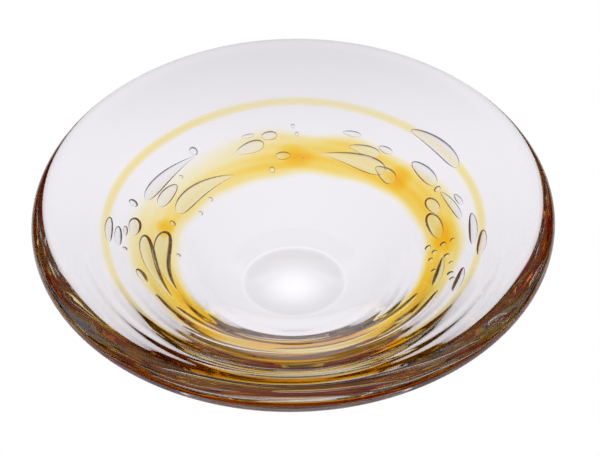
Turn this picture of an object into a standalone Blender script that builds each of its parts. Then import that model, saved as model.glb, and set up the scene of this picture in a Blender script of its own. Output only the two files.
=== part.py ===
"""Art glass bowl: two gathers of clear glass with amber colour and air bubbles between them.

The bowl is a wide, shallow, heavy hand-made dish. The first gather is its inside, the second
gather (the casing) is its outside, and the amber band, thread and lumps lie where the two meet.
Long air bubbles are trapped at the same place, as half pockets in each of the mating faces.
Units are metres, +Z is up, and the origin is the centre of the foot, on the surface it rests on.
"""

import bmesh
import bpy
import numpy as np
from mathutils import Matrix, Vector

MM = 0.001

# Driving dimensions
RIM_RADIUS = 140 * MM
BOWL_HEIGHT = 66 * MM
LIP_SIDE = 9 * MM
LIP_ABOVE = 7.4 * MM
LIP_BELOW = 4.2 * MM
FLOOR_TOP = 15.5 * MM
FOOT_RADIUS = 31.5 * MM
PONTIL_RADIUS = 29 * MM
PONTIL_DEPTH = 2.2 * MM
JOINT_GAP = 0.3 * MM
TURN_STEPS = 56

# The lip is a flattened bead that rises more above its widest point than it drops below it.
# These are the angles on its section where the surfaces of the wall meet it.
LIP_CENTRE = np.array([RIM_RADIUS - LIP_SIDE, BOWL_HEIGHT - LIP_ABOVE])
LIP_INSIDE_ANGLE = 115
LIP_JOINT_ANGLE = 15
LIP_CASING_ANGLE = 12
LIP_OUTSIDE_ANGLE = -36
LIP_STEPS = 4

# Points on the wall's three surfaces between base and lip, as radius and height in millimetres
INSIDE_POINTS = [(20, 17), (40, 22.5), (64, 34), (85, 45.5), (101, 53.9), (116, 60.5)]
JOINT_POINTS = [(0, 9), (22, 10), (42, 16), (64, 28), (85, 40.2), (101, 49), (120, 56)]
OUTSIDE_POINTS = [
    (124, 48.3), (108, 39.2), (90, 28), (72, 15.8), (59, 7), (51, 2.9), (44.5, 0.95), (38, 0.27),
]

# Amber colour: how far out each ring starts and ends, and how thick it is
BAND_INNER_RADIUS = 64 * MM
BAND_OUTER_RADIUS = 87 * MM
BAND_THICKNESS = 1.6 * MM
THREAD_RADIUS = 101.5 * MM
THREAD_WIDTH = 4.8 * MM
THREAD_THICKNESS = 1.2 * MM
LUMP_THICKNESS = 3.2 * MM
BAND_SIZE = (BAND_INNER_RADIUS, BAND_OUTER_RADIUS, BAND_THICKNESS)
THREAD_SIZE = (THREAD_RADIUS - THREAD_WIDTH / 2, THREAD_RADIUS + THREAD_WIDTH / 2, THREAD_THICKNESS)
RECESS_MARGIN = 0.9 * MM
RING_POINTS = 5

# Lumps of dense colour: name, bearing in degrees, distance out, length and width in millimetres
LUMPS = [
    ("amber_lump_back", 88, 74, 20, 12),
    ("amber_lump_back_right", 34, 76.5, 10, 9),
    ("amber_lump_right", -4, 83, 13, 10),
    ("amber_lump_left", 163, 72, 11, 11),
]

# Air bubbles: bearing in degrees, distance out, length, width and depth in millimetres
BUBBLES = [
    (142, 87, 42, 6, 3.5),
    (134, 71, 42, 8, 4),
    (150, 80, 18, 6, 3),
    (107, 80, 16, 6, 3),
    (65, 77, 32, 6, 3),
    (45, 75, 14, 6, 3),
    (60, 84, 17, 4.5, 2.5),
    (37, 101.5, 38, 7.5, 4),
    (34, 88, 20, 6.5, 3.5),
    (21, 83.5, 11, 6.5, 3.5),
    (10, 81, 18, 8, 4),
    (172, 84, 11, 8, 3.5),
    (188, 75, 40, 9, 4.5),
    (-17, 85, 28, 6, 3.5),
]
BUBBLE_TAPER = 0.35
BALL_SEGMENTS = 10
BALL_RINGS = 6

CLEAR_GLASS = ((0.93, 0.94, 0.96, 1.0), 0.02)
YELLOW_AMBER = ((0.98, 0.72, 0.16, 1.0), 0.05)
DENSE_AMBER = ((0.86, 0.42, 0.03, 1.0), 0.05)


def clear_scene():
    """Remove every object that is in the open file."""
    for item in list(bpy.data.objects):
        bpy.data.objects.remove(item, do_unlink=True)


def make_collection(name):
    """Make a collection in the scene."""
    collection = bpy.data.collections.new(name)
    bpy.context.scene.collection.children.link(collection)
    return collection


def make_material(name, finish):
    """Make a Principled material from a colour and a roughness."""
    colour, roughness = finish
    material = bpy.data.materials.new(name)
    material.use_nodes = True
    shader = material.node_tree.nodes["Principled BSDF"]
    shader.inputs["Base Color"].default_value = colour
    shader.inputs["Roughness"].default_value = roughness
    shader.inputs["Metallic"].default_value = 0.0
    material.diffuse_color = colour
    return material


def smooth_curve(points, steps):
    """Run a smooth curve through the points, with so many steps from each point to the next."""
    points = np.asarray(points, dtype=float)
    chords = np.diff(points, axis=0)
    lengths = np.hypot(chords[:, 0], chords[:, 1])[:, None]
    directions = chords / lengths
    weights = lengths[:-1] + lengths[1:]
    tangents = np.empty_like(points)
    tangents[1:-1] = (directions[:-1] * lengths[1:] + directions[1:] * lengths[:-1]) / weights
    tangents[0] = 1.5 * directions[0] - 0.5 * tangents[1]
    tangents[-1] = 1.5 * directions[-1] - 0.5 * tangents[-2]
    t = np.linspace(0, 1, steps, endpoint=False)[:, None]
    stretches = []
    for i, length in enumerate(lengths):
        start = (2 * t**3 - 3 * t**2 + 1) * points[i]
        leave = (t**3 - 2 * t**2 + t) * length * tangents[i]
        end = (3 * t**2 - 2 * t**3) * points[i + 1]
        arrive = (t**3 - t**2) * length * tangents[i + 1]
        stretches.append(start + leave + end + arrive)
    return np.concatenate(stretches + [points[-1:]])


def lip_arc(start_degrees, end_degrees, steps):
    """Points along the lip's oval section, from one angle to another."""
    angles = np.radians(np.linspace(start_degrees, end_degrees, steps + 1))
    rise = np.where(angles > 0, LIP_ABOVE, LIP_BELOW)
    return LIP_CENTRE + np.stack([LIP_SIDE * np.cos(angles), rise * np.sin(angles)], axis=1)


def shifted(curve, distance):
    """Move a curve sideways, to the left of the way it runs."""
    ways = np.gradient(curve, axis=0)
    ways /= np.hypot(ways[:, 0], ways[:, 1])[:, None]
    moved = curve + distance * np.stack([-ways[:, 1], ways[:, 0]], axis=1)
    moved[np.isclose(curve[:, 0], 0), 0] = 0
    return moved


def inside_surface():
    """The bowl's inside, from the middle of its floor out to the lip."""
    points = [(0, FLOOR_TOP)] + [(r * MM, z * MM) for r, z in INSIDE_POINTS]
    return smooth_curve(points + [lip_arc(LIP_INSIDE_ANGLE, LIP_INSIDE_ANGLE, 0)[0]], 2)


def joint_surface():
    """The surface where the two gathers meet, from the middle out to the lip."""
    points = [(r * MM, z * MM) for r, z in JOINT_POINTS]
    return smooth_curve(points + [lip_arc(LIP_JOINT_ANGLE, LIP_JOINT_ANGLE, 0)[0]], 1)


def outside_surface():
    """The outer wall, from the lip down and round to the narrow flat ring of the foot."""
    points = [lip_arc(LIP_OUTSIDE_ANGLE, LIP_OUTSIDE_ANGLE, 0)[0]]
    points += [(r * MM, z * MM) for r, z in OUTSIDE_POINTS]
    return smooth_curve(points + [(FOOT_RADIUS, 0)], 2)


def pontil_mark():
    """The shallow ground hollow, from the inner edge of the foot's flat ring to the axis."""
    sphere_radius = (PONTIL_RADIUS**2 + PONTIL_DEPTH**2) / (2 * PONTIL_DEPTH)
    reach = np.linspace(PONTIL_RADIUS, 0, 5)
    rise = np.sqrt(sphere_radius**2 - reach**2) - (sphere_radius - PONTIL_DEPTH)
    return np.stack([reach, rise], axis=1)


def joint_frame(bearing, distance):
    """Place and directions on the joint surface: along the ring, up the wall, out of the wall."""
    curve = joint_surface()
    height = np.interp(distance, curve[:, 0], curve[:, 1])
    step = 1 * MM
    rise = np.interp(distance + step, curve[:, 0], curve[:, 1]) - height
    turn = np.radians(bearing)
    outward = Vector((np.cos(turn), np.sin(turn), 0))
    along = Vector((-np.sin(turn), np.cos(turn), 0))
    up_wall = (outward * step + Vector((0, 0, rise))).normalized()
    normal = along.cross(up_wall)
    place = outward * distance + Vector((0, 0, height))
    return Matrix.Translation(place) @ Matrix((along, up_wall, normal)).transposed().to_4x4()


def add_object(name, mesh, collection):
    """Put a mesh in the scene under a name, shaded smooth but for its real edges."""
    mesh.shade_smooth()
    mesh.set_sharp_from_angle(angle=np.radians(40))
    item = bpy.data.objects.new(name, mesh)
    collection.objects.link(item)
    return item


def turned(name, profile, collection, closed=False):
    """Turn a profile of radii and heights about the upright axis with a Screw modifier."""
    mesh = bpy.data.meshes.new(name)
    count = len(profile)
    edges = [(i, i + 1) for i in range(count - 1)]
    if closed:
        edges.append((count - 1, 0))
    mesh.from_pydata([(r, 0, z) for r, z in profile], edges, [])
    item = add_object(name, mesh, collection)
    screw = item.modifiers.new("turn", "SCREW")
    screw.axis = "Z"
    screw.steps = TURN_STEPS
    screw.render_steps = TURN_STEPS
    screw.use_merge_vertices = True
    screw.merge_threshold = 0.00001
    screw.use_smooth_shade = True
    return item


def ellipsoid(shape, place, size, taper=0.0):
    """Add a stretched ball to a bmesh; taper makes one end fuller than the other."""
    ball = bmesh.ops.create_uvsphere(
        shape, u_segments=BALL_SEGMENTS, v_segments=BALL_RINGS, radius=0.5,
        matrix=Matrix.Rotation(np.pi / 2, 4, "Y"),
    )
    for vert in ball["verts"]:
        fullness = 1 - taper * 2 * vert.co.x
        local = Vector((vert.co.x, vert.co.y * fullness, vert.co.z * fullness))
        vert.co = place @ Vector(a * b for a, b in zip(local, size))


def ball_object(name, balls, collection):
    """One object made of stretched balls, each given by its place, size and taper."""
    shape = bmesh.new()
    for place, size, taper in balls:
        ellipsoid(shape, place, size, taper)
    mesh = bpy.data.meshes.new(name)
    shape.to_mesh(mesh)
    shape.free()
    return add_object(name, mesh, collection)


def cut(item, cutter):
    """Take a cutter's shape out of an object."""
    boolean = item.modifiers.new("cut_" + cutter.name, "BOOLEAN")
    boolean.operation = "DIFFERENCE"
    boolean.solver = "EXACT"
    boolean.object = cutter


def hide_cutter(item):
    """Mark an object as a tool that is no part of the bowl."""
    item.hide_render = True
    item.display_type = "WIRE"


def inner_gather(collection):
    """The first gather: the inside of the bowl and the top half of its lip."""
    lip = lip_arc(LIP_INSIDE_ANGLE, LIP_JOINT_ANGLE, LIP_STEPS)[1:-1]
    profile = np.concatenate([inside_surface(), lip, joint_surface()[::-1]])
    return turned("inner_gather", profile, collection)


def outer_casing(collection):
    """The second gather: outer wall, lower half of the lip, foot and pontil mark."""
    lip = lip_arc(LIP_CASING_ANGLE, LIP_OUTSIDE_ANGLE, LIP_STEPS)[:-1]
    profile = np.concatenate([casing_face()[:-1], lip, outside_surface(), pontil_mark()])
    return turned("outer_casing", profile, collection)


def ring_section(inner_radius, outer_radius, thickness):
    """A flat ring's section: its face along the casing's side of the joint, and its belly."""
    joint = shifted(joint_surface(), -JOINT_GAP)
    reach = np.linspace(inner_radius, outer_radius, RING_POINTS)
    face = np.stack([reach, np.interp(reach, joint[:, 0], joint[:, 1])], axis=1)
    belly = shifted(face, -thickness)[1:-1]
    return face, belly


def ring(name, size, collection):
    """A flat ring of colour under the joint surface."""
    face, belly = ring_section(*size)
    return turned(name, np.concatenate([face, belly[::-1]]), collection, closed=True)


def recess(size):
    """The hollow in the casing's face that holds a ring of colour, clear of it all round."""
    inner_radius, outer_radius, thickness = size
    face, belly = ring_section(inner_radius, outer_radius, thickness + JOINT_GAP)
    joint = shifted(joint_surface(), -JOINT_GAP)
    ends = np.array([inner_radius - RECESS_MARGIN, outer_radius + RECESS_MARGIN])
    edges = np.stack([ends, np.interp(ends, joint[:, 0], joint[:, 1])], axis=1)
    return np.concatenate([edges[:1], belly, edges[1:]])


def casing_face():
    """The casing's side of the joint: the joint surface with a recess for each ring."""
    joint = shifted(joint_surface(), -JOINT_GAP)
    stretches = []
    start = -1.0
    for hollow in (recess(BAND_SIZE), recess(THREAD_SIZE)):
        clear = (joint[:, 0] > start) & (joint[:, 0] < hollow[0, 0])
        stretches += [joint[clear], hollow]
        start = hollow[-1, 0]
    return np.concatenate(stretches + [joint[joint[:, 0] > start]])


def lump_ball(bearing, distance, length, width, grow=0.0):
    """A lump of dense colour: a flat drop across the joint surface."""
    place = joint_frame(bearing, distance * MM)
    size = (length * MM + grow, width * MM + grow, LUMP_THICKNESS + grow)
    return place, size, 0.0


def bubble_ball(bearing, distance, length, width, depth):
    """An air bubble: a long drop along the ring, fuller at one end."""
    place = joint_frame(bearing, distance * MM)
    return place, (length * MM, width * MM, depth * MM), BUBBLE_TAPER


def build():
    """Make the bowl's pieces and cut the hollows between them."""
    clear_scene()
    parts = make_collection("art_glass_bowl")
    cutters = make_collection("cutters")

    inner = inner_gather(parts)
    casing = outer_casing(parts)
    band = ring("amber_band", BAND_SIZE, parts)
    thread = ring("amber_thread", THREAD_SIZE, parts)
    lumps = [ball_object(name, [lump_ball(*place)], parts) for name, *place in LUMPS]

    sockets = [lump_ball(*place, grow=2 * JOINT_GAP) for name, *place in LUMPS]
    bubbles = [bubble_ball(*bubble) for bubble in BUBBLES]
    hollows = ball_object("hollows", sockets + bubbles, cutters)
    hide_cutter(hollows)
    for item in (casing, inner, band, thread):
        cut(item, hollows)

    clear = make_material("clear_glass", CLEAR_GLASS)
    yellow = make_material("yellow_amber_glass", YELLOW_AMBER)
    dense = make_material("dense_amber_glass", DENSE_AMBER)
    for item in (inner, casing):
        item.data.materials.append(clear)
    for item in (band, thread):
        item.data.materials.append(yellow)
    for item in lumps:
        item.data.materials.append(dense)


build()
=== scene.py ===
"""A heavy hand-made art glass bowl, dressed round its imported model.

The bowl is clear glass in two gathers that are fused into one body. Between them lie an amber
band, a thin amber thread, four thick amber drops and many long air bubbles. Lengths in the
classes are millimetres, and angles are degrees, measured from +X towards +Y. Meshes are made
in metres.
"""
import logging
import math
from dataclasses import dataclass
from dataclasses import field
from enum import Enum

import bpy
import numpy as np
from mathutils import Matrix
from mathutils import Vector


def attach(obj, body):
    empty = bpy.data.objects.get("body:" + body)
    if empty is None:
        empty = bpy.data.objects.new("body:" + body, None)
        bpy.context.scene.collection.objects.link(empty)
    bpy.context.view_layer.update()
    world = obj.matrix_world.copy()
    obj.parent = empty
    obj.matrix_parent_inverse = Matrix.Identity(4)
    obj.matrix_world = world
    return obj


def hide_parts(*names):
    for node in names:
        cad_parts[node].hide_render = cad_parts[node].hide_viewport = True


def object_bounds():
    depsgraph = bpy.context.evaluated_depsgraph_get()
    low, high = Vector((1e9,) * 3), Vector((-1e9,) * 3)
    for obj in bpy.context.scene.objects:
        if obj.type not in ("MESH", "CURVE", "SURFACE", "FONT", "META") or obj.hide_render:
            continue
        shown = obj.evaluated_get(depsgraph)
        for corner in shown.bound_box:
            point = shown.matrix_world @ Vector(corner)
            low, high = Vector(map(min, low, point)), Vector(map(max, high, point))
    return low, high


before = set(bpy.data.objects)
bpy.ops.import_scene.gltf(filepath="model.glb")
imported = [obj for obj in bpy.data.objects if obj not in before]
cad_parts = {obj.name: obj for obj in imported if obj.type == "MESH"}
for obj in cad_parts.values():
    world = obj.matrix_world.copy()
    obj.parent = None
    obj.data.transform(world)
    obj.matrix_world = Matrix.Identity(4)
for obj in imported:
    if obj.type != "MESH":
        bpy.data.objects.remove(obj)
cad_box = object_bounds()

log = logging.getLogger("art_glass_bowl")

MM = 0.001
BODY = "root"
SOFTEN_SAMPLES = 9
Colour = tuple[float, float, float, float]


class Gather(Enum):
    """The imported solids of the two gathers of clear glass, inside and outside."""

    INNER = "inner_gather"
    OUTER = "outer_casing"


class Slot(Enum):
    """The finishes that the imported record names."""

    CLEAR = "clear_glass"
    YELLOW = "yellow_amber_glass"
    DENSE = "dense_amber_glass"


# ---------------------------------------------------------------- small tools


def linear(colour: str) -> Colour:
    """Turns an sRGB hex colour to linear values.

    Args:
        colour: six hex digits after a hash sign.

    Returns:
        Red, green, blue and an alpha of 1, linear.
    """
    values = [int(colour[i : i + 2], 16) / 255 for i in (1, 3, 5)]
    return (*(v / 12.92 if v <= 0.04045 else ((v + 0.055) / 1.055) ** 2.4 for v in values), 1.0)


def add_node(tree: bpy.types.NodeTree, kind: str, **sockets: object) -> bpy.types.Node:
    """Adds a shader node with its settings and links.

    Args:
        tree: the node tree that the node goes into.
        kind: the node's Blender type.
        sockets: values or output sockets by name. An underscore stands for a space in a socket's
            name, i0, i1 and i2 stand for the first sockets by number, and a name that is no
            socket is one of the node's settings.

    Returns:
        The new node.
    """
    node = tree.nodes.new(kind)
    for name, value in sockets.items():
        socket_name = name.replace("_", " ")
        if name[0] == "i" and name[1:].isdigit():
            socket = node.inputs[int(name[1:])]
        elif socket_name in node.inputs:
            socket = node.inputs[socket_name]
        else:
            setattr(node, name, value)
            continue
        if isinstance(value, bpy.types.NodeSocket):
            tree.links.new(value, socket)
        else:
            socket.default_value = value
    return node


def new_tree(owner: bpy.types.ID) -> bpy.types.NodeTree:
    """Switches a material or world to nodes and empties its tree.

    Args:
        owner: the material or world.

    Returns:
        Its empty node tree.
    """
    owner.use_nodes = True
    owner.node_tree.nodes.clear()
    return owner.node_tree


def smooth_curve(
    points: list[tuple[float, float]],
    per_span: int,
    start: tuple[float, float] | None = None,
    end: tuple[float, float] | None = None,
) -> np.ndarray:
    """Runs a smooth curve through points.

    Each span is a cubic Hermite curve. The slope at a point is the mean of its two chords'
    directions, each weighted by the length of the other chord. At a free end it is one and a
    half times the chord's direction, less half of the next slope.

    Args:
        points: the points that the curve passes through, in order.
        per_span: how many steps each span is cut into.
        start: direction at the first point, or None for a free end.
        end: direction at the last point, or None for a free end.

    Returns:
        The curve's points, one row each.
    """
    knots = np.asarray(points, float)
    chords = np.diff(knots, axis=0)
    lengths = np.hypot(chords[:, 0], chords[:, 1])[:, None]
    ways = chords / lengths
    slopes = np.empty_like(knots)
    slopes[1:-1] = (ways[:-1] * lengths[1:] + ways[1:] * lengths[:-1]) / (lengths[:-1] + lengths[1:])
    slopes[0] = 1.5 * ways[0] - 0.5 * slopes[1] if start is None else start
    slopes[-1] = 1.5 * ways[-1] - 0.5 * slopes[-2] if end is None else end
    t = np.linspace(0, 1, per_span, endpoint=False)[None, :, None]
    p, q = knots[:-1, None], knots[1:, None]
    u, v = slopes[:-1, None] * lengths[:, None], slopes[1:, None] * lengths[:, None]
    spans = (2 * t**3 - 3 * t**2 + 1) * p + (t**3 - 2 * t**2 + t) * u
    spans = spans + (3 * t**2 - 2 * t**3) * q + (t**3 - t**2) * v
    return np.concatenate([spans.reshape(-1, 2), knots[-1:]])


def fade(low: float, high: float, x: np.ndarray) -> np.ndarray:
    """Rises smoothly from 0 at low to 1 at high, by the cubic 3t^2 - 2t^3, as t goes 0 to 1."""
    t = np.clip((x - low) / (high - low), 0, 1)
    return t * t * (3 - 2 * t)


def waves(turn: np.ndarray, *sines: tuple[float, float, float]) -> np.ndarray:
    """Adds up sines round the bowl: the sum of height times sin(count turn + start).

    Args:
        turn: angles in radians.
        sines: height, count round the bowl and start of each sine.

    Returns:
        The sum at each angle.
    """
    return sum(height * np.sin(count * turn + start) for height, count, start in sines)


def round_the_bowl(azimuth: np.ndarray, stops: dict[float, float], soften: float = 14) -> np.ndarray:
    """A value that changes smoothly round the bowl.

    The value runs straight between its stops, and is then averaged over an arc.

    Args:
        azimuth: angles in degrees.
        stops: value at each named angle in degrees.
        soften: length of the averaged arc in degrees.

    Returns:
        The value at each azimuth.
    """
    keys = sorted(stops)
    shifts = np.linspace(-soften / 2, soften / 2, SOFTEN_SAMPLES)
    around = azimuth[..., None] + shifts
    return np.interp(around, keys, [stops[k] for k in keys], period=360).mean(-1)


@dataclass
class Surface:
    """A closed surface: its points in millimetres, and its faces in fours and threes."""

    points: np.ndarray
    quads: np.ndarray
    triangles: np.ndarray

    @classmethod
    def with_poles(cls, rings: np.ndarray, first: np.ndarray, last: np.ndarray) -> "Surface":
        """Closes rows of rings with a pole at each end.

        Args:
            rings: points as rows by columns by xyz, where the columns close on themselves.
            first: the pole before the first ring.
            last: the pole after the last ring.

        Returns:
            The closed surface.
        """
        rows, columns = rings.shape[:2]
        row, column = np.arange(rows - 1)[:, None], np.arange(columns)[None, :]
        after = (column + 1) % columns
        corners = [(row, column), (row + 1, column), (row + 1, after), (row, after)]
        quads = np.stack([r * columns + c for r, c in corners], -1).reshape(-1, 4)
        one, two = column[0], after[0]
        pole = np.full(columns, rows * columns)
        fans = [np.stack([pole, one, two], -1)]
        fans.append(np.stack([pole + 1, (rows - 1) * columns + two, (rows - 1) * columns + one], -1))
        points = np.concatenate([rings.reshape(-1, 3), [first, last]])
        return cls(points, quads, np.concatenate(fans))

    @classmethod
    def as_ring(cls, rings: np.ndarray) -> "Surface":
        """Closes a grid both ways, as on a torus.

        Args:
            rings: points as rows by columns by xyz.

        Returns:
            The closed surface.
        """
        rows, columns = rings.shape[:2]
        row, column = np.arange(rows)[:, None], np.arange(columns)[None, :]
        below, after = (row + 1) % rows, (column + 1) % columns
        corners = [(row, column), (below, column), (below, after), (row, after)]
        quads = np.stack([r * columns + c for r, c in corners], -1).reshape(-1, 4)
        return cls(rings.reshape(-1, 3), quads, np.empty((0, 3), int))

    def volume(self) -> float:
        """Works out the volume: the sum of a dot (b cross c) / 6 over the triangles.

        Returns:
            The volume in cubic millimetres, below zero if the faces point inwards.
        """
        halves = [self.quads[:, [0, 1, 2]], self.quads[:, [0, 2, 3]], self.triangles]
        a, b, c = (self.points[np.concatenate(halves)[:, i]] for i in range(3))
        return float(np.einsum("ij,ij->i", a, np.cross(b, c)).sum() / 6)

    def facing(self, outwards: bool) -> "Surface":
        """Turns the faces outwards, or inwards for the wall of a hollow.

        Args:
            outwards: True for outwards.

        Returns:
            The surface with its faces turned if they need it.
        """
        if (self.volume() > 0) == outwards:
            return self
        return Surface(self.points, self.quads[:, ::-1], self.triangles[:, ::-1])

    def joined(self, others: list["Surface"]) -> "Surface":
        """Puts separate surfaces into one.

        Args:
            others: the surfaces to add to this one.

        Returns:
            One surface, whose parts stay separate shells.
        """
        parts = [self, *others]
        starts = np.cumsum([0] + [len(p.points) for p in parts])[:-1]
        return Surface(
            np.concatenate([p.points for p in parts]),
            np.concatenate([p.quads + n for p, n in zip(parts, starts)]),
            np.concatenate([p.triangles + n for p, n in zip(parts, starts)]),
        )

    def piece(self, name: str) -> bpy.types.Object:
        """Makes a smooth-shaded mesh object in metres.

        Args:
            name: the object's name.

        Returns:
            The object, at the origin.
        """
        mesh = bpy.data.meshes.new(name)
        corners = np.concatenate([self.quads.ravel(), self.triangles.ravel()])
        sizes = np.concatenate([np.full(len(self.quads), 4), np.full(len(self.triangles), 3)])
        mesh.vertices.add(len(self.points))
        mesh.vertices.foreach_set("co", (self.points * MM).astype(np.float32).ravel())
        mesh.loops.add(len(corners))
        mesh.loops.foreach_set("vertex_index", corners.astype(np.int32))
        mesh.polygons.add(len(sizes))
        mesh.polygons.foreach_set("loop_start", (np.cumsum(sizes) - sizes).astype(np.int32))
        mesh.update(calc_edges=True)
        mesh.validate()
        mesh.shade_smooth()
        made = bpy.data.objects.new(name, mesh)
        bpy.context.scene.collection.objects.link(made)
        return made


def hand_over(made: bpy.types.Object, finish: "Finish", nodes: list[str]) -> None:
    """Dresses a piece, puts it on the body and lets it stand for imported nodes.

    Args:
        made: the piece.
        finish: what it is made of.
        nodes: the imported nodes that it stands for.
    """
    made.data.materials.append(finish.material())
    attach(made, BODY)
    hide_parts(*nodes)
    log.info("%s: %d faces, for %s", made.name, len(made.data.polygons), ", ".join(nodes))


# ---------------------------------------------------------------- finishes


@dataclass(frozen=True)
class Finish:
    """A real material and how it is shaded."""

    name: str

    def material(self) -> bpy.types.Material:
        """Builds the material, or gives it back if it is there already.

        Returns:
            The material, under the finish's name.
        """
        known = bpy.data.materials.get(self.name)
        if known is not None:
            return known
        made = bpy.data.materials.new(self.name)
        self.shade(new_tree(made))
        return made

    def shade(self, tree: bpy.types.NodeTree) -> None:
        """Fills the material's node tree."""
        raise NotImplementedError


@dataclass(frozen=True)
class ClearGlass(Finish):
    """Fire-polished clear soda-lime glass.

    It gives the eye sharp reflections, faint cords in its surface that make straight lines
    waver, and a violet-grey body tone that shows only where light runs far, as in the lip.
    Cord sizes are millimetres. The body tone is what light keeps, and its density is per metre.
    """

    tint: str = "#FEFDFF"
    index: float = 1.52
    cord_size: float = 30.0
    cord_depth: float = 0.01
    cord_strength: float = 0.15
    body_tone: str = "#C0B4BE"
    body_density: float = 7.0

    def shade(self, tree: bpy.types.NodeTree) -> None:
        """Clear transmission with a bump for the cords and absorption for the body tone.

        Args:
            tree: the material's empty node tree.
        """
        place = add_node(tree, "ShaderNodeTexCoord").outputs["Object"]
        cords = add_node(tree, "ShaderNodeTexNoise", Vector=place, Scale=1 / (self.cord_size * MM))
        bump = add_node(
            tree,
            "ShaderNodeBump",
            Height=cords.outputs[0],
            Strength=self.cord_strength,
            Distance=self.cord_depth * MM,
        )
        glass = add_node(
            tree,
            "ShaderNodeBsdfPrincipled",
            Base_Color=linear(self.tint),
            Roughness=0.0,
            IOR=self.index,
            Transmission_Weight=1.0,
            Normal=bump.outputs[0],
        )
        body = add_node(
            tree,
            "ShaderNodeVolumeAbsorption",
            Color=linear(self.body_tone),
            Density=self.body_density,
        )
        add_node(tree, "ShaderNodeOutputMaterial", Surface=glass.outputs[0], Volume=body.outputs[0])


@dataclass(frozen=True)
class AmberGlass(Finish):
    """Amber glass cased in clear: it has no surface of its own to see, only depth of colour.

    Depth is the thickness in millimetres through which white light comes out in the tone
    colour. Thin places are pale yellow and thick ones deep orange, as in the real glass.
    """

    tone: str = "#FFE377"
    depth: float = 1.2
    skin: str = "#FFFFFF"
    most_kept: float = 0.998
    density_margin: float = 1.01

    def shade(self, tree: bpy.types.NodeTree) -> None:
        """Absorption of -ln(tone) over depth for each colour, and no bending of light.

        Absorption is density times (1 - colour), so the colour is 1 - absorption / density. The
        margin keeps every part of that colour above zero.

        Args:
            tree: the material's empty node tree.
        """
        kept = [min(value, self.most_kept) for value in linear(self.tone)[:3]]
        loss = [-math.log(value) / (self.depth * MM) for value in kept]
        density = self.density_margin * max(loss)
        colour = [1 - value / density for value in loss]
        skin = add_node(
            tree,
            "ShaderNodeBsdfPrincipled",
            Base_Color=linear(self.skin),
            Roughness=0.0,
            IOR=1.0,
            Transmission_Weight=1.0,
        )
        inside = add_node(tree, "ShaderNodeVolumeAbsorption", Color=(*colour, 1.0), Density=density)
        add_node(tree, "ShaderNodeOutputMaterial", Surface=skin.outputs[0], Volume=inside.outputs[0])


# ---------------------------------------------------------------- the bowl's section


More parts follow.
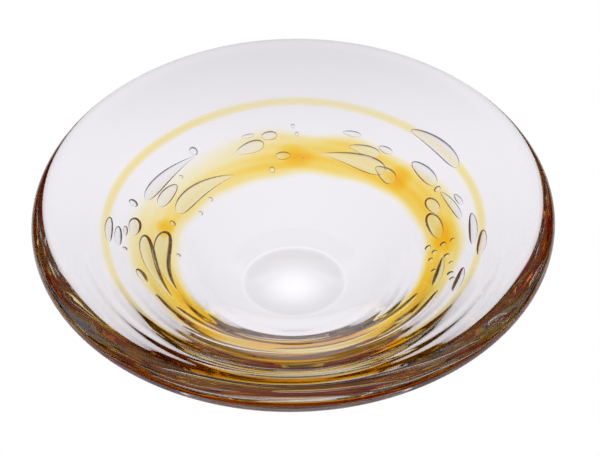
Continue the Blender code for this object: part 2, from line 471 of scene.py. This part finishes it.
@dataclass
class Section:
    """The bowl's turned section, worked out from its packed box.

    Points are (radius, height). The lip is an oval that touches the box at the side and at the
    top. It reaches lip_side out from its middle, lip_above up and lip_below down.
    """

    rim_radius: float = cad_box[1][0] / MM
    height: float = cad_box[1][2] / MM
    lip_side: float = 9.0
    lip_above: float = 7.4
    lip_below: float = 4.2
    floor_top: float = 15.5
    joint_floor: float = 9.0
    foot_outer: float = 31.5
    foot_inner: float = 29.6
    pontil_depth: float = 2.0
    pontil_power: float = 1.4
    wall_steps: int = 12
    lip_steps: int = 40
    outer_steps: int = 11
    pontil_steps: int = 22
    joint_steps: int = 20
    lip_inside: float = 115.0
    lip_joint: float = 15.0
    lip_outside: float = -38.0
    inner_points: list[tuple[float, float]] = field(
        default_factory=lambda: [
            (20, 17), (40, 22.5), (64, 34), (85, 45.5), (101, 53.9), (116, 60.5),
        ]
    )
    joint_points: list[tuple[float, float]] = field(
        default_factory=lambda: [(22, 10), (42, 16), (64, 28), (85, 40.2), (101, 49), (120, 56)]
    )
    outer_points: list[tuple[float, float]] = field(
        default_factory=lambda: [
            (124, 48.3), (108, 39.2), (90, 28), (72, 15.8),
            (59, 7), (51, 2.9), (44.5, 0.95), (38, 0.27),
        ]
    )

    def lip(self, first: float, last: float, steps: int) -> np.ndarray:
        """The lip's round between two angles.

        It is an ellipse, centre plus (side cos, rise sin), that rises more above its widest
        point than it drops below it.

        Args:
            first: angle in degrees, where 0 is the lip's outermost point and 90 its top.
            last: angle of the last point.
            steps: how many steps lie between them.

        Returns:
            The points, one row each.
        """
        angle = np.radians(np.linspace(first, last, steps + 1))
        rise = np.where(np.sin(angle) > 0, self.lip_above, self.lip_below)
        centre = [self.rim_radius - self.lip_side, self.height - self.lip_above]
        return centre + np.stack([self.lip_side * np.cos(angle), rise * np.sin(angle)], 1)

    def lip_way(self, angle: float) -> tuple[float, float]:
        """Direction along the lip's round, going from inside to outside.

        Args:
            angle: where on the round, in degrees.

        Returns:
            The direction, one long.
        """
        turn = math.radians(angle)
        rise = self.lip_above if turn > 0 else self.lip_below
        way = self.lip_side * math.sin(turn), -rise * math.cos(turn)
        length = math.hypot(*way)
        return way[0] / length, way[1] / length

    def joint(self) -> np.ndarray:
        """The surface where the two gathers meet, from the axis to the lip."""
        end = tuple(self.lip(self.lip_joint, 0, 1)[0])
        knots = [(0, self.joint_floor), *self.joint_points, end]
        return smooth_curve(knots, self.joint_steps, start=(1, 0))

    def outline(self) -> np.ndarray:
        """The whole section, from the floor's centre over the lip to the pontil mark's centre.

        Returns:
            The section's points, one row each.
        """
        lip = self.lip(self.lip_inside, self.lip_outside, self.lip_steps)
        inner = [(0, self.floor_top), *self.inner_points, tuple(lip[0])]
        outer = [tuple(lip[-1]), *self.outer_points, (self.foot_outer, 0)]
        return np.concatenate(
            [
                smooth_curve(inner, self.wall_steps, (1, 0), self.lip_way(self.lip_inside)),
                lip[1:-1],
                smooth_curve(outer, self.outer_steps, self.lip_way(self.lip_outside), (-1, 0)),
                self.pontil(),
            ]
        )

    def pontil(self) -> np.ndarray:
        """The ground hollow where the pontil was: depth times (1 - (r/R)^2) to a power.

        Returns:
            The hollow's points, from its edge to its centre.
        """
        radius = np.linspace(self.foot_inner, 0, self.pontil_steps)
        rise = self.pontil_depth * (1 - (radius / self.foot_inner) ** 2) ** self.pontil_power
        return np.stack([radius, rise], 1)

    def on_joint(self, azimuth: np.ndarray, radius: np.ndarray, lift: np.ndarray) -> np.ndarray:
        """Places points on or near the joint between the gathers.

        Args:
            azimuth: angles in degrees.
            radius: distances from the axis.
            lift: distances above the joint, along its normal.

        Returns:
            The points' xyz.
        """
        joint = self.joint()
        slope = np.gradient(joint[:, 1]) / np.maximum(np.gradient(joint[:, 0]), 1e-6)
        tilt = np.arctan(np.interp(radius, joint[:, 0], slope))
        angle = np.radians(azimuth)
        out = radius - np.sin(tilt) * lift
        up = np.interp(radius, joint[:, 0], joint[:, 1]) + np.cos(tilt) * lift
        return np.stack([out * np.cos(angle), out * np.sin(angle), up], -1)


# ---------------------------------------------------------------- bubbles


# The share of a bubble's half width over which the colour comes back at its edge
SHADOW_EDGE = (0.86, 1.04)
LEAST_HALF_WIDTH = 0.05
PEAK_SAMPLES = 101


@dataclass(frozen=True)
class Bubble:
    """An air bubble drawn out along the joint.

    It runs from its head to its tail, each an (azimuth, radius). Its half width along the way
    is sin(p) (1 - taper s), where s = (1 - cos p) / 2 goes from 0 at the head to 1 at the tail.
    """

    head: tuple[float, float]
    tail: tuple[float, float]
    width: float
    taper: float = 0.3
    bow: float = 0.0
    flatness: float = 0.3
    long_from: float = 12.0
    long_grid: tuple[int, int] = (26, 20)
    short_grid: tuple[int, int] = (12, 12)

    def half_width(self, way: np.ndarray) -> np.ndarray:
        """Half the bubble's width along its way.

        Args:
            way: shares of the way from head to tail.

        Returns:
            Half the width at each.
        """
        shape = 2 * np.sqrt(np.clip(way * (1 - way), 0, None)) * (1 - self.taper * way)
        full = np.linspace(0, 1, PEAK_SAMPLES)
        peak = (2 * np.sqrt(full * (1 - full)) * (1 - self.taper * full)).max()
        return self.width / 2 * shape / peak

    def axis(self) -> tuple[np.ndarray, float]:
        """The way from head to tail.

        Returns:
            Its direction as (along the arc, outwards), and its length.
        """
        arc = math.radians(self.tail[0] - self.head[0]) * (self.head[1] + self.tail[1]) / 2
        way = np.array([arc, self.tail[1] - self.head[1]])
        length = float(np.hypot(*way))
        return way / length, length

    def wall(self, section: Section) -> Surface:
        """The hollow's wall, a poled grid along and round the bubble, facing inwards.

        Each row is an ellipse, width times (cos, flatness sin), laid across the way.

        Args:
            section: the bowl's section, whose joint the bubble lies on.

        Returns:
            The wall.
        """
        way, length = self.axis()
        rows, columns = self.long_grid if length > self.long_from else self.short_grid
        along = (1 - np.cos(np.linspace(0, math.pi, rows + 2))) / 2
        azimuth = self.head[0] + (self.tail[0] - self.head[0]) * along
        radius = self.head[1] + (self.tail[1] - self.head[1]) * along
        radius = radius + self.bow * 4 * along * (1 - along)
        half = self.half_width(along)[:, None]
        turn = np.linspace(0, 2 * math.pi, columns, endpoint=False)[None, :]
        across = half * np.cos(turn)
        lift = half * self.flatness * np.sin(turn)
        spread_azimuth = azimuth[:, None] - np.degrees(way[1] * across / radius[:, None])
        spread_radius = radius[:, None] + way[0] * across
        points = section.on_joint(spread_azimuth, spread_radius, lift)
        return Surface.with_poles(points[1:-1], points[0, 0], points[-1, 0]).facing(outwards=False)

    def shadow(self, azimuth: np.ndarray, radius: np.ndarray) -> np.ndarray:
        """How far each place lies under the bubble.

        Args:
            azimuth: angles in degrees.
            radius: distances from the axis.

        Returns:
            1 inside the bubble's outline, 0 clear of it, and between the two at its edge.
        """
        way, length = self.axis()
        turn = (azimuth - self.head[0] + 180) % 360 - 180
        x, y = np.radians(turn) * radius, radius - self.head[1]
        along = x * way[0] + y * way[1]
        share = np.clip(along / length, 0, 1)
        aside = way[0] * (y - self.bow * 4 * share * (1 - share)) - way[1] * x
        across = np.hypot(aside, along - share * length)
        half = self.half_width(share)
        return 1 - fade(*SHADOW_EDGE, across / np.maximum(half, LEAST_HALF_WIDTH))


def dot(azimuth: float, radius: float, width: float) -> Bubble:
    """A small round bubble."""
    reach = math.degrees(width / 2 / radius)
    return Bubble((azimuth - reach, radius), (azimuth + reach, radius), width, taper=0.0)


@dataclass
class BubbleField:
    """All the air bubbles, in the groups that lie together round the bowl."""

    back_left: list[Bubble] = field(
        default_factory=lambda: [
            Bubble((158, 87), (129, 86), 6.4, 0.75),
            dot(128, 88.5, 4.6),
            Bubble((154, 71), (118, 69.5), 8.2, 0.7, 1.0),
            Bubble((157, 80), (143, 80), 6.2, 0.2),
            Bubble((101, 81), (113, 79.5), 6.2, 0.5),
            Bubble((95.5, 84.5), (101.5, 84.5), 4.6, 0.1),
            Bubble((104, 86), (109, 86), 2.2, 0.2),
            dot(139, 81.5, 2.2),
            dot(135, 64.5, 2.4),
            dot(145, 62.5, 2.4),
            dot(99.5, 67.5, 3.2),
        ]
    )
    back: list[Bubble] = field(
        default_factory=lambda: [
            Bubble((97, 74), (90.5, 74), 4.0, 0.1),
            dot(89.5, 88.5, 2.2),
            dot(88, 84.5, 2.2),
            dot(85, 72, 1.6),
        ]
    )
    back_right: list[Bubble] = field(
        default_factory=lambda: [
            Bubble((48, 77), (78, 75.5), 8.6, 0.85),
            Bubble((41.5, 75.5), (53, 77), 7.0, 0.5),
            Bubble((54, 83), (67, 82), 5.2, 0.5),
            Bubble((64, 88.5), (71, 88), 3.0, 0.3),
            Bubble((50, 86.5), (56, 86.5), 3.4, 0.2),
            Bubble((26.5, 101.5), (49, 101), 7.6, 0.4, 1.0),
            Bubble((26.5, 88), (41, 88), 6.8, 0.2),
            dot(24.5, 87.5, 3.6),
        ]
    )
    right: list[Bubble] = field(
        default_factory=lambda: [
            Bubble((6, 92), (22.5, 88), 3.8, 0.3),
            Bubble((12, 94.5), (18, 93), 2.7, 0.2),
            Bubble((24, 80.5), (14.5, 82.5), 6.0, 0.2),
            Bubble((17, 77.5), (1.5, 80), 7.6, 0.2),
            Bubble((352.5, 97.5), (366.5, 97.5), 4.8, 0.1),
            Bubble((346.5, 102.5), (357.5, 102.5), 5.0, 0.1),
        ]
    )
    right_beads: list[Bubble] = field(
        default_factory=lambda: [
            dot(azimuth, radius, width)
            for azimuth, radius, width in (
                (359, 73.5, 3.4), (355, 77, 2.8), (351, 75.5, 2.8), (357.5, 81.5, 3.4), (358, 86.5, 2.6),
                (350.5, 84, 3.2), (343.5, 79, 2.8), (340, 89.5, 3.4), (337, 92, 2.8), (346, 87.5, 2.2),
            )
        ]
    )
    left: list[Bubble] = field(
        default_factory=lambda: [
            Bubble((174, 81), (209, 76), 8.6, 0.75),
            Bubble((166.5, 71), (204, 70), 9.4, 0.75, 1.5),
            Bubble((168, 87), (177, 87.5), 6.6, 0.3),
            Bubble((173, 100), (184, 100), 4.4, 0.1),
            Bubble((175.5, 95), (184.5, 95), 4.0, 0.1),
            Bubble((174, 91.5), (179, 91.5), 2.4, 0.2),
            dot(185, 91.8, 2.6),
            dot(160.5, 70.5, 3.2),
            dot(162.5, 91.5, 4.8),
            dot(178, 63.5, 2.4),
            Bubble((194, 87), (201, 85.5), 5.0, 0.3),
        ]
    )
    front: list[Bubble] = field(
        default_factory=lambda: [
            Bubble((216, 79), (252, 76), 5.0, 0.5),
            Bubble((228, 90), (268, 87), 4.2, 0.6),
            Bubble((242, 70), (287, 68), 4.4, 0.6),
            Bubble((262, 82), (304, 80), 4.8, 0.6),
            Bubble((330, 77), (296, 74), 5.0, 0.5),
            Bubble((331, 88), (290, 92), 4.4, 0.6),
            Bubble((334, 83.5), (350, 82), 4.6, 0.4),
            Bubble((330, 98), (342, 95.5), 5.0, 0.3),
            Bubble((318, 84), (309, 84.5), 3.4, 0.2),
            Bubble((208, 84.5), (222, 85), 3.6, 0.3),
        ]
    )

    def all(self) -> list[Bubble]:
        """Every bubble, group after group."""
        groups = (self.back_left, self.back, self.back_right, self.right, self.right_beads)
        return [bubble for group in (*groups, self.left, self.front) for bubble in group]

    def cover(self, azimuth: np.ndarray, radius: np.ndarray) -> np.ndarray:
        """How far each place is under any bubble.

        Args:
            azimuth: angles in degrees.
            radius: distances from the axis.

        Returns:
            Values from 0, clear of every bubble, to 1.
        """
        clear = np.ones(np.broadcast(azimuth, radius).shape)
        for bubble in self.all():
            clear = clear * (1 - bubble.shadow(azimuth, radius))
        return 1 - clear


# ---------------------------------------------------------------- clear glass


@dataclass
class TurningWaves:
    """Shallow waves that hand turning leaves in the walls.

    Their height is a sum of sines of the distance from the axis, and each sine's phase wanders
    slowly round the bowl. They fade out towards the lip and the base.
    """

    outer_height: float = 0.05
    inner_height: float = 0.02
    lengths: tuple[float, ...] = (11.0, 6.3, 17.0)
    weights: tuple[float, ...] = (1.0, 0.7, 0.5)
    wander: tuple[float, ...] = (0.12, 0.15, 0.25)
    phase_step: float = 1.3
    wander_start: float = 0.5
    outer_rise: tuple[float, float] = (38, 52)
    outer_fall: tuple[float, float] = (123, 133)
    inner_rise: tuple[float, float] = (45, 75)
    inner_fall: tuple[float, float] = (114, 124)

    def shifted(self, outline: np.ndarray, azimuth: np.ndarray) -> np.ndarray:
        """Lifts the section by the waves along its normal.

        Args:
            outline: the section's points, from the inner pole to the outer one.
            azimuth: the turn angles in radians, as one row.

        Returns:
            Rings of xyz without the two poles.
        """
        way = np.gradient(outline, axis=0)
        way = way / np.hypot(way[:, 0], way[:, 1])[:, None]
        normal = np.stack([-way[:, 1], way[:, 0]], 1)[1:-1]
        point = outline[1:-1]
        radius = point[:, :1]
        outer = fade(*self.outer_rise, radius) * (1 - fade(*self.outer_fall, radius))
        inner = fade(*self.inner_rise, radius) * (1 - fade(*self.inner_fall, radius))
        outer, inner = self.outer_height * outer, self.inner_height * inner
        height = np.where(normal[:, 1:] < 0, outer, inner)
        wave = np.zeros((len(point), azimuth.shape[1]))
        for k, (length, weight, wander) in enumerate(zip(self.lengths, self.weights, self.wander)):
            phase = self.phase_step * k + wander * np.sin((k + 1) * azimuth + self.wander_start + k)
            wave = wave + weight * np.sin(2 * math.pi * radius / length + phase)
        out = radius + normal[:, :1] * height * wave
        up = point[:, 1:] + normal[:, 1:] * height * wave
        return np.stack([out * np.cos(azimuth), out * np.sin(azimuth), up], -1)


@dataclass
class ClearBowl:
    """The clear glass: both gathers fused into one body, with the bubbles as hollows in it."""

    section: Section
    bubbles: BubbleField
    waves: TurningWaves = field(default_factory=TurningWaves)
    turn_steps: int = 256
    finish: ClearGlass = ClearGlass("clear_soda_lime_glass")

    def body(self) -> Surface:
        """The turned body: the section carried round the axis.

        Returns:
            The body without its bubbles.
        """
        outline = self.section.outline()
        azimuth = np.linspace(0, 2 * math.pi, self.turn_steps, endpoint=False)[None, :]
        rings = self.waves.shifted(outline, azimuth)
        poles = [np.array([0, 0, outline[i, 1]]) for i in (0, -1)]
        return Surface.with_poles(rings, *poles).facing(outwards=True)

    def build(self) -> bpy.types.Object:
        """Makes the clear glass and dresses it.

        Returns:
            The piece that stands for both gathers.
        """
        hollows = [bubble.wall(self.section) for bubble in self.bubbles.all()]
        made = self.body().joined(hollows).piece("clear_glass_body")
        hand_over(made, self.finish, [Gather.INNER.value, Gather.OUTER.value])
        return made


# ---------------------------------------------------------------- amber glass


@dataclass
class AmberLayer:
    """A ring of amber glass laid in the joint, thin at both edges.

    It lies at a small lift from the joint. Where a bubble lies over it, it thins by a share,
    as hot glass does over trapped air.
    """

    section: Section
    bubbles: BubbleField
    name: str
    node: str
    finish: AmberGlass
    turn_steps: int
    width_steps: int
    lift: float = -0.8
    least: float = 0.02
    thinning: float = 0.6

    def edges(self, azimuth: np.ndarray) -> tuple[np.ndarray, np.ndarray]:
        """Gives the ring's edges.

        Args:
            azimuth: angles in degrees.

        Returns:
            The inner and the outer radius at each.
        """
        raise NotImplementedError

    def thickness(self, azimuth: np.ndarray, radius: np.ndarray, share: np.ndarray) -> np.ndarray:
        """Gives the ring's thickness.

        Args:
            azimuth: angles in degrees.
            radius: distances from the axis.
            share: how far across the ring, from 0 at the inner edge to 1 at the outer.

        Returns:
            The thickness at each place.
        """
        raise NotImplementedError

    def build(self) -> bpy.types.Object:
        """Makes the ring: its section is an upper and a lower line that meet at both edges.

        Returns:
            The piece that stands for the layer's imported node.
        """
        azimuth = np.linspace(0, 360, self.turn_steps, endpoint=False)[:, None]
        share = np.linspace(0, 1, self.width_steps)[None, :]
        inner, outer = self.edges(azimuth)
        radius = inner + (outer - inner) * share
        half = np.maximum(self.thickness(azimuth, radius, share), self.least) / 2
        covered = self.bubbles.cover(azimuth, radius)
        half = half * (1 - self.thinning * covered) + self.least / 2
        half[:, [0, -1]] = 0
        upper = self.section.on_joint(azimuth, radius, self.lift + half)
        lower = self.section.on_joint(azimuth, radius, self.lift - half)
        around = np.concatenate([upper, lower[:, -2:0:-1]], 1)
        made = Surface.as_ring(around).facing(outwards=True).piece(self.name)
        hand_over(made, self.finish, [self.node])
        return made


@dataclass
class AmberBand(AmberLayer):
    """The broad amber band, uneven in width and depth as hand-laid colour is.

    Its edges, its depth and its lean are given at angles round the bowl. Lean is how much of the
    depth is lost towards the outer edge.
    """

    name: str = "amber_band_colour"
    node: str = "amber_band"
    finish: AmberGlass = AmberGlass("cased_yellow_amber")
    turn_steps: int = 720
    width_steps: int = 40
    inner_edge: dict[float, float] = field(
        default_factory=lambda: {
            20: 69, 50: 66, 86: 62.5, 120: 61, 163: 62, 203: 61, 270: 62, 330: 70, 355: 70,
        }
    )
    outer_edge: dict[float, float] = field(
        default_factory=lambda: {
            20: 93, 45: 88, 87: 87, 108: 90, 130: 86, 160: 91,
            180: 93, 210: 89, 270: 88, 330: 92, 355: 94,
        }
    )
    depth: dict[float, float] = field(
        default_factory=lambda: {
            20: 1.5, 60: 1.6, 95: 1.5, 115: 1.2, 140: 1.0, 165: 0.9,
            200: 1.4, 235: 3.0, 300: 3.0, 325: 2.0, 350: 1.5,
        }
    )
    lean: dict[float, float] = field(
        default_factory=lambda: {
            20: 0.3, 60: 0.2, 95: 0.45, 120: 0.8, 150: 0.75, 180: 0.4, 270: 0.4, 340: 0.5,
        }
    )
    ripples: tuple[tuple[float, float, float], ...] = ((0.5, 9, 1), (0.4, 14, 0))
    outer_ripple: tuple[float, float, float] = (0.6, 11, 2)
    crown: tuple[float, float] = (0.3, 0.72)
    lean_over: tuple[float, float] = (0.3, 0.75)
    streak_depths: tuple[float, float] = (0.12, 0.1)

    def edges(self, azimuth: np.ndarray) -> tuple[np.ndarray, np.ndarray]:
        """Edges that wander round the bowl, with short ripples that are sums of sines.

        Args:
            azimuth: angles in degrees.

        Returns:
            The inner and the outer radius at each.
        """
        turn = np.radians(azimuth)
        ripple = waves(turn, *self.ripples)
        inner = round_the_bowl(azimuth, self.inner_edge) + ripple
        outer = round_the_bowl(azimuth, self.outer_edge) + waves(turn, self.outer_ripple) - ripple
        return inner, outer

    def thickness(self, azimuth: np.ndarray, radius: np.ndarray, share: np.ndarray) -> np.ndarray:
        """Full near the inner edge, leaning off outwards, with streaks drawn round the bowl.

        Args:
            azimuth: angles in degrees.
            radius: distances from the axis.
            share: how far across the band, from 0 at the inner edge to 1 at the outer.

        Returns:
            Depth times a crown, the lean and the streaks, which are sines of radius and angle.
        """
        turn = np.radians(azimuth)
        full = fade(0, self.crown[0], share) * (1 - fade(self.crown[1], 1, share))
        leaned = 1 - round_the_bowl(azimuth, self.lean) * fade(*self.lean_over, share)
        long, short = self.streak_depths
        streaks = 1 + long * np.sin(radius * 1.3 + 2 * np.sin(2 * turn))
        streaks = streaks + short * np.sin(7 * turn + radius * 0.3)
        return round_the_bowl(azimuth, self.depth) * full * leaned * streaks


@dataclass
class AmberThread(AmberLayer):
    """The thin amber thread near the rim."""

    name: str = "amber_thread_colour"
    node: str = "amber_thread"
    finish: AmberGlass = AmberGlass("cased_yellow_amber")
    turn_steps: int = 540
    width_steps: int = 12
    middle: float = 101.5
    half_width: float = 2.7
    depth: float = 0.5
    wander: tuple[tuple[float, float, float], ...] = ((0.5, 2, 1), (0.3, 5, 0))
    unevenness: tuple[float, float, float] = (0.2, 3, 0.4)

    def edges(self, azimuth: np.ndarray) -> tuple[np.ndarray, np.ndarray]:
        """A nearly round line of even width.

        Args:
            azimuth: angles in degrees.

        Returns:
            The inner and the outer radius at each.
        """
        turn = np.radians(azimuth)
        middle = self.middle + waves(turn, *self.wander)
        return middle - self.half_width, middle + self.half_width

    def thickness(self, azimuth: np.ndarray, radius: np.ndarray, share: np.ndarray) -> np.ndarray:
        """A soft crown, sin(pi share), a little uneven round the bowl.

        Args:
            azimuth: angles in degrees.
            radius: distances from the axis, which make no difference to a thread.
            share: how far across the thread, from 0 at the inner edge to 1 at the outer.

        Returns:
            The thickness at each place.
        """
        uneven = 1 + waves(np.radians(azimuth), self.unevenness)
        return self.depth * np.sin(math.pi * share) * uneven


@dataclass
class AmberDrop:
    """A thick drop of amber under the band.

    A lens whose outline is an ellipse that swells and pinches, and whose half thickness is
    (1 - q^2) to a power times its middle one, at a share q of the way from the middle to the
    outline.
    """

    section: Section
    place: str
    azimuth: float
    radius: float
    half_length: float
    half_breadth: float
    thickness: float
    finish: AmberGlass = AmberGlass("cased_deep_amber", depth=2.4)
    lift: float = -2.2
    edge_power: float = 1.5
    swells: tuple[float, float] = (0.12, 0.09)
    rows: int = 24
    columns: int = 64

    def build(self) -> bpy.types.Object:
        """Makes the drop as a poled grid, upper side first.

        Returns:
            The piece that stands for the drop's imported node.
        """
        latitude = np.linspace(0, math.pi, 2 * self.rows + 1)[:, None]
        turn = np.linspace(0, 2 * math.pi, self.columns, endpoint=False)[None, :]
        share = np.sin(latitude)
        two, three = self.swells
        swell = 1 + two * np.sin(2 * turn + self.azimuth) + three * np.sin(3 * turn + self.radius)
        along = self.half_length * swell * share * np.cos(turn)
        out = self.half_breadth * swell * share * np.sin(turn)
        crown = np.clip(1 - share**2, 0, 1) ** self.edge_power
        half = np.sign(np.cos(latitude)) * self.thickness / 2 * crown
        azimuth = self.azimuth + np.degrees(along / self.radius)
        points = self.section.on_joint(azimuth, self.radius + out, self.lift + half)
        lens = Surface.with_poles(points[1:-1], points[0, 0], points[-1, 0])
        made = lens.facing(outwards=True).piece(f"amber_drop_{self.place}")
        hand_over(made, self.finish, [f"amber_lump_{self.place}"])
        return made


# ---------------------------------------------------------------- studio


PLAIN_WHITE = "#FFFFFF"
TABLE_WHITE = "#FDFCFF"
SKY_WHITE = "#FDFBFF"
SENSOR_WIDTH = 36.0
# How often light may cross glass, be mirrored, and pass clear edges
GLASS_BOUNCES = 40
MIRROR_BOUNCES = 16
CLEAR_BOUNCES = 64


@dataclass
class Studio:
    """A plain white lit table, soft light from above, and the camera. Lengths are metres.

    The glow values are how bright the table is as the glass sees it: under the bowl, behind it and in a
    painted pool of light, ringed with painted shade, that stands for the light the foot gathers. The sky
    values are for low, middle and top.
    """

    elevation: float = 44.6
    roll: float = -1.1
    distance: float = 2.2
    aim_height: float = 0.0606
    lens: float = 246.97
    shift: tuple[float, float] = (0.01167, -0.0205)
    table_size: float = 8.0
    table_glow: float = 1.01
    glow_full: float = 0.25
    glow_end: float = 0.6
    back_glow: float = 0.74
    back_start: float = 0.08
    back_end: float = 0.24
    # Painted pool of light under the foot, and the painted shade ring round it
    painted_pool_light: float = 1.18
    painted_shade_ring: float = 0.93
    pool_end: float = 0.0275
    foot_edge: float = 0.03
    sky_heights: tuple[float, float, float] = (0.3, 0.75, 0.97)
    sky_low: float = 0.0
    sky_middle: float = 0.4
    sky_top: float = 0.6

    def camera(self) -> None:
        """Aims the camera at the bowl's axis from the front and above."""
        rise = math.radians(self.elevation)
        back = Vector((0, -math.cos(rise), math.sin(rise)))
        right = Vector((1, 0, 0))
        turn = Matrix((right, back.cross(right), back)).transposed().to_4x4()
        made = bpy.data.objects.new("camera", bpy.data.cameras.new("camera"))
        roll = Matrix.Rotation(math.radians(self.roll), 4, back)
        aim = Vector((0, 0, self.aim_height))
        made.matrix_world = Matrix.Translation(aim + back * self.distance) @ (roll @ turn)
        made.data.sensor_width = SENSOR_WIDTH
        made.data.lens = self.lens
        made.data.shift_x, made.data.shift_y = self.shift
        bpy.context.scene.collection.objects.link(made)
        bpy.context.scene.camera = made

    def table(self) -> None:
        """A white table that glows as a light table does, with a painted pool of light and a painted
        shade ring under the foot, and fades out away from the bowl.
        """
        bpy.ops.mesh.primitive_plane_add(size=self.table_size)
        made = bpy.context.object
        made.name = "table"
        material = bpy.data.materials.new("white_light_table")
        tree = new_tree(material)
        seen = add_node(tree, "ShaderNodeLightPath").outputs["Is Camera Ray"]
        place = add_node(tree, "ShaderNodeTexCoord").outputs["Object"]
        parts = add_node(tree, "ShaderNodeSeparateXYZ", Vector=place)
        behind = add_node(
            tree,
            "ShaderNodeMapRange",
            interpolation_type="SMOOTHSTEP",
            Value=parts.outputs["Y"],
            From_Min=self.back_start,
            From_Max=self.back_end,
            To_Min=self.table_glow,
            To_Max=self.back_glow,
        )
        away = add_node(tree, "ShaderNodeVectorMath", operation="LENGTH", i0=place).outputs["Value"]
        # Painted pool of light under the foot: bright at its middle, dimming to a painted shade ring at
        # its edge, seen only by rays through the glass
        pool = add_node(
            tree,
            "ShaderNodeMapRange",
            interpolation_type="SMOOTHSTEP",
            Value=away,
            From_Max=self.pool_end,
            To_Min=self.painted_pool_light,
            To_Max=self.painted_shade_ring,
        )
        near = add_node(
            tree,
            "ShaderNodeMapRange",
            Value=away,
            From_Min=self.pool_end,
            From_Max=self.foot_edge,
            To_Min=pool.outputs[0],
            To_Max=behind.outputs[0],
        )
        glow = add_node(
            tree,
            "ShaderNodeMapRange",
            interpolation_type="SMOOTHSTEP",
            Value=away,
            From_Min=self.glow_full,
            From_Max=self.glow_end,
            To_Min=near.outputs[0],
            To_Max=0.0,
        )
        under = add_node(tree, "ShaderNodeEmission", Color=linear(TABLE_WHITE), Strength=glow.outputs[0])
        plain = add_node(tree, "ShaderNodeEmission", Color=linear(PLAIN_WHITE), Strength=1.0)
        mixed = add_node(tree, "ShaderNodeMixShader", i0=seen, i1=under.outputs[0], i2=plain.outputs[0])
        add_node(tree, "ShaderNodeOutputMaterial", Surface=mixed.outputs[0])
        made.data.materials.append(material)

    def sky(self) -> None:
        """Soft light from above that falls off towards the horizon, against a white backdrop."""
        world = bpy.data.worlds.new("softbox")
        bpy.context.scene.world = world
        tree = new_tree(world)
        way = add_node(tree, "ShaderNodeTexCoord").outputs["Generated"]
        parts = add_node(tree, "ShaderNodeSeparateXYZ", Vector=way)
        low = add_node(
            tree,
            "ShaderNodeMapRange",
            Value=parts.outputs["Z"],
            From_Min=self.sky_heights[0],
            From_Max=self.sky_heights[1],
            To_Min=self.sky_low,
            To_Max=self.sky_middle,
        )
        high = add_node(
            tree,
            "ShaderNodeMapRange",
            Value=parts.outputs["Z"],
            From_Min=self.sky_heights[1],
            From_Max=self.sky_heights[2],
            To_Min=0.0,
            To_Max=self.sky_top - self.sky_middle,
        )
        total = add_node(tree, "ShaderNodeMath", operation="ADD", i0=low.outputs[0], i1=high.outputs[0])
        light = add_node(tree, "ShaderNodeBackground", Color=linear(SKY_WHITE), Strength=total.outputs[0])
        backdrop = add_node(tree, "ShaderNodeBackground", Color=linear(PLAIN_WHITE), Strength=1.0)
        seen = add_node(tree, "ShaderNodeLightPath").outputs["Is Camera Ray"]
        ends = {"i1": light.outputs[0], "i2": backdrop.outputs[0]}
        mixed = add_node(tree, "ShaderNodeMixShader", i0=seen, **ends)
        add_node(tree, "ShaderNodeOutputWorld", Surface=mixed.outputs[0])

    def light_paths(self) -> None:
        """Lets light cross the glass, the colour and the bubbles as often as it needs."""
        scene = bpy.context.scene
        scene.view_settings.view_transform = "Standard"
        scene.cycles.max_bounces = GLASS_BOUNCES
        scene.cycles.transmission_bounces = GLASS_BOUNCES
        scene.cycles.glossy_bounces = MIRROR_BOUNCES
        scene.cycles.transparent_max_bounces = CLEAR_BOUNCES

    def build(self) -> None:
        """Sets up the camera, the table and the light."""
        self.camera()
        self.table()
        self.sky()
        self.light_paths()
        log.info("studio: camera at %.1f degrees, table and soft light", self.elevation)


def main() -> None:
    """Builds the studio and the bowl, piece by piece."""
    logging.basicConfig(level=logging.INFO, format="%(message)s")
    Studio().build()
    section = Section()
    bubbles = BubbleField()
    ClearBowl(section, bubbles).build()
    AmberBand(section, bubbles).build()
    AmberThread(section, bubbles).build()
    AmberDrop(section, "back", 88, 74, 12, 6.5, 2.6).build()
    AmberDrop(section, "back_right", 42, 78, 12, 6.5, 3.0).build()
    AmberDrop(section, "right", 2, 82, 15, 8, 2.8).build()
    AmberDrop(section, "left", 164, 72.5, 8, 6, 2.6).build()


if __name__ == "__main__":
    main()
